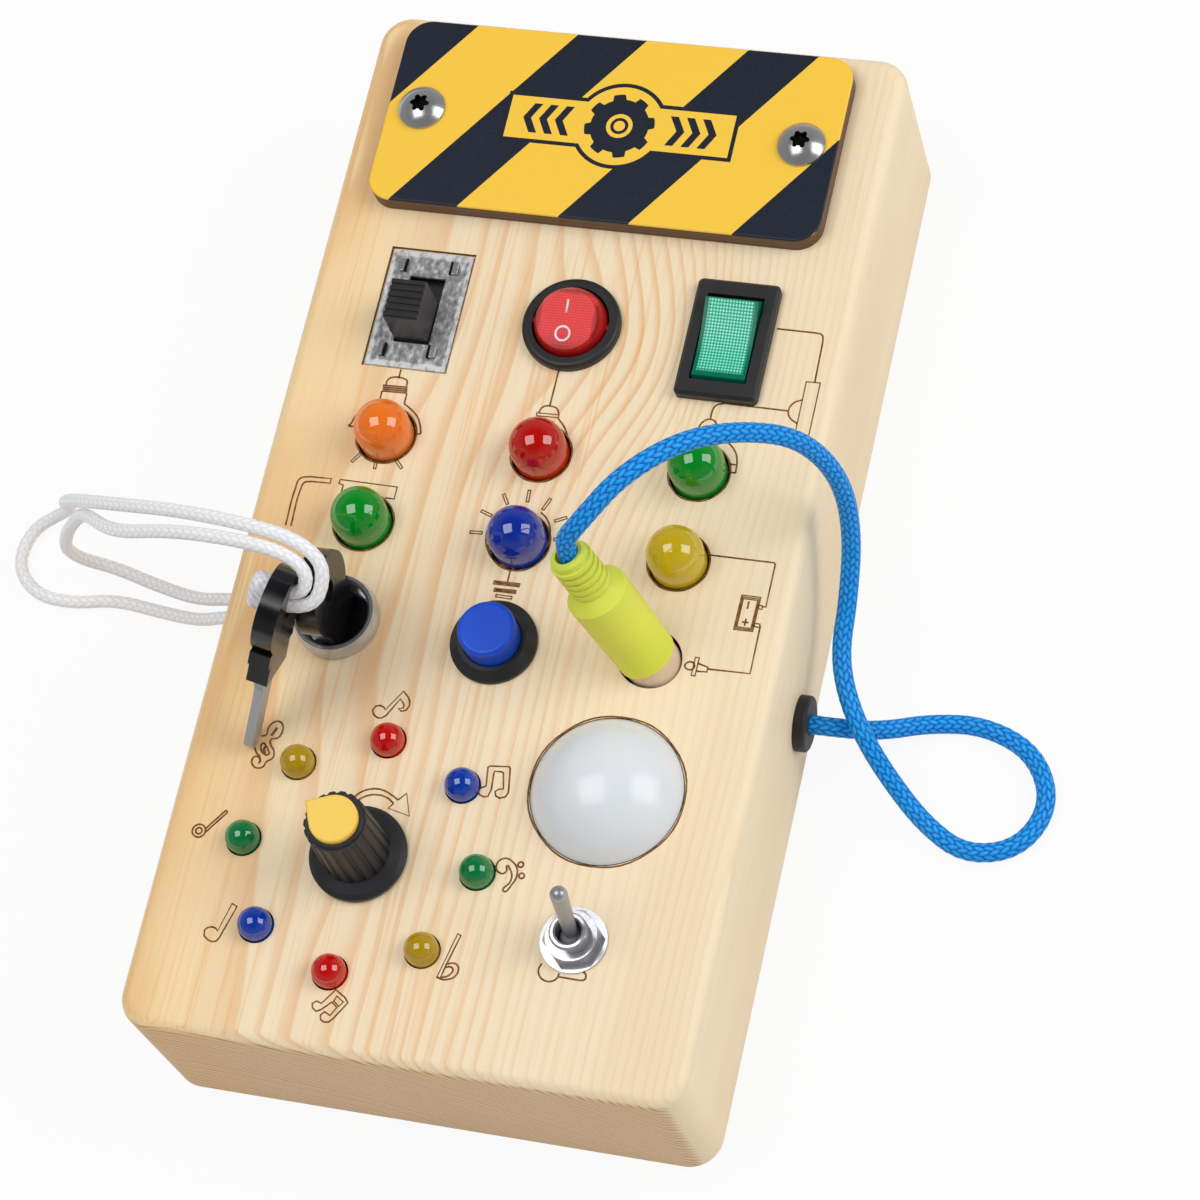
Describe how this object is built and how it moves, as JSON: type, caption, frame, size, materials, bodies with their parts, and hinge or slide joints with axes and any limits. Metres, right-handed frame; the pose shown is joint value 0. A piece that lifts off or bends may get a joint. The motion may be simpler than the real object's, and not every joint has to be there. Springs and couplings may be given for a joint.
{
  "type": "wooden busy board",
  "caption": "Wooden busy board with slide, rocker, push, toggle and rotary switches, coloured lamps, a key lock, a corded plug and a striped battery cover.",
  "frame": {"origin": "middle of the back face, which the board lies on", "axes": "+Z out through the face with the switches, +Y towards the striped battery cover, +X to the right"},
  "size_m": [0.1819, 0.1784, 0.071],
  "materials": {
    "pine": "sanded, clear oiled",
    "plywood": "plain plywood",
    "striped_plate": "painted yellow with dark stripes",
    "peg_wood": "turned beech",
    "steel": "zinc plated",
    "black_steel": "blackened",
    "chrome": "polished",
    "brass": "plain",
    "black_plastic": "fine satin",
    "grey_knob": "satin",
    "yellow_plastic": "gloss",
    "red_plastic": "translucent gloss",
    "green_plastic": "translucent gloss",
    "blue_plastic": "gloss",
    "orange_lens": "translucent gloss",
    "red_lens": "translucent gloss",
    "green_lens": "translucent gloss",
    "blue_lens": "translucent gloss",
    "yellow_lens": "translucent gloss",
    "white_lens": "milky",
    "lime_rubber": "soft moulded",
    "black_rubber": "moulded",
    "blue_cord": "braided",
    "white_cord": "braided",
    "circuit_board": "solder mask",
    "cell": "wrapped"
  },
  "bodies": {
    "board": {"wood_block": "pine", "back_cover": "plywood", "back_cover_screws": "steel", "battery_cover": "striped_plate", "battery_cover_screws": "steel", "threaded_inserts": "brass", "battery_box": "black_plastic", "batteries": "cell", "battery_contacts": "steel", "slide_switch_frame": "steel", "slide_switch_base": "black_plastic", "switch_terminals": "brass", "round_rocker_housing": "black_plastic", "rect_rocker_housing": "black_plastic", "push_button_housing": "black_plastic", "push_button_spring": "steel", "push_button_nut": "black_plastic", "lock_housing": "chrome", "lock_nut": "steel", "toggle_body": "black_plastic", "toggle_bushing": "chrome", "toggle_washer": "chrome", "toggle_nut": "chrome", "rotary_switch": "black_plastic", "rotary_switch_nut": "steel", "lamp_orange": "orange_lens", "lamp_red": "red_lens", "lamps_green": "green_lens", "lamp_blue": "blue_lens", "lamp_yellow": "yellow_lens", "note_lamps_yellow": "yellow_lens", "note_lamps_red": "red_lens", "note_lamps_blue": "blue_lens", "note_lamps_green": "green_lens", "dome_lens": "white_lens", "lamp_board": "circuit_board", "note_lamp_board": "circuit_board", "dome_board": "circuit_board", "board_screws": "steel", "right_grommet": "black_rubber", "left_grommet": "black_rubber", "blue_cord": "blue_cord"},
    "slide_lever": {"slide_switch_lever": "black_plastic"},
    "round_rocker": {"round_rocker_cap": "red_plastic"},
    "rect_rocker": {"rect_rocker_cap": "green_plastic"},
    "push_cap": {"push_button_cap": "blue_plastic"},
    "lock_turn": {"lock_cylinder": "black_steel"},
    "lanyard": {"spare_key": "black_plastic", "key_cord_knot": "white_cord", "white_cord_outer": "white_cord", "white_cord_inner": "white_cord"},
    "key": {"inserted_key": "black_plastic"},
    "toggle": {"toggle_lever": "chrome"},
    "knob": {"knob": "grey_knob", "knob_pointer": "yellow_plastic", "knob_shaft": "steel"},
    "plug": {"plug_sleeve": "lime_rubber", "plug_peg": "peg_wood"}
  },
  "joints": [
    {"name": "slide_switch", "type": "slide", "parent": "board", "child": "slide_lever", "axis": [0, 1, 0], "range_m": [0, 0.0042]},
    {"name": "round_rocker_tilt", "type": "hinge", "parent": "board", "child": "round_rocker", "pos_m": [0, 0.0352, 0.0326], "axis": [1, 0, 0], "range_deg": [-24, 0]},
    {"name": "rect_rocker_tilt", "type": "hinge", "parent": "board", "child": "rect_rocker", "pos_m": [0.0259, 0.0352, 0.0317], "axis": [1, 0, 0], "range_deg": [-18, 0]},
    {"name": "push_button", "type": "slide", "parent": "board", "child": "push_cap", "axis": [0, 0, -1], "range_m": [0, 0.0026], "stiffness_N_per_m": 400, "springref_m": -0.002, "deforming": ["push_button_spring"]},
    {"name": "key_pull", "type": "slide", "parent": "board", "child": "lanyard", "axis": [0, 0, 1], "range_m": [0, 0.016], "deforming": ["white_cord_outer", "white_cord_inner"]},
    {"name": "key_turn", "type": "hinge", "parent": "lanyard", "child": "key", "pos_m": [-0.0259, -0.0197, 0.032], "axis": [0, 0, 1], "range_deg": [-90, 0]},
    {"name": "cylinder_turn", "type": "hinge", "parent": "board", "child": "lock_turn", "pos_m": [-0.0259, -0.0197, 0.032], "axis": [0, 0, 1], "range_deg": [-90, 0]},
    {"name": "toggle_flip", "type": "hinge", "parent": "board", "child": "toggle", "pos_m": [0.0234, -0.0658, 0.0334], "axis": [1, 0, 0], "range_deg": [0, 22]},
    {"name": "knob_turn", "type": "hinge", "parent": "board", "child": "knob", "pos_m": [-0.0128, -0.0575, 0.032], "axis": [0, 0, 1], "range_deg": [-315, 0]},
    {"name": "plug_pull", "type": "slide", "parent": "board", "child": "plug", "axis": [-0.3211, 0.1721, 0.9313], "range_m": [0, 0.012], "deforming": ["blue_cord"]}
  ],
  "couplings": [
    {"joint": "cylinder_turn", "follows": "key_turn", "ratio": 1}
  ]
}
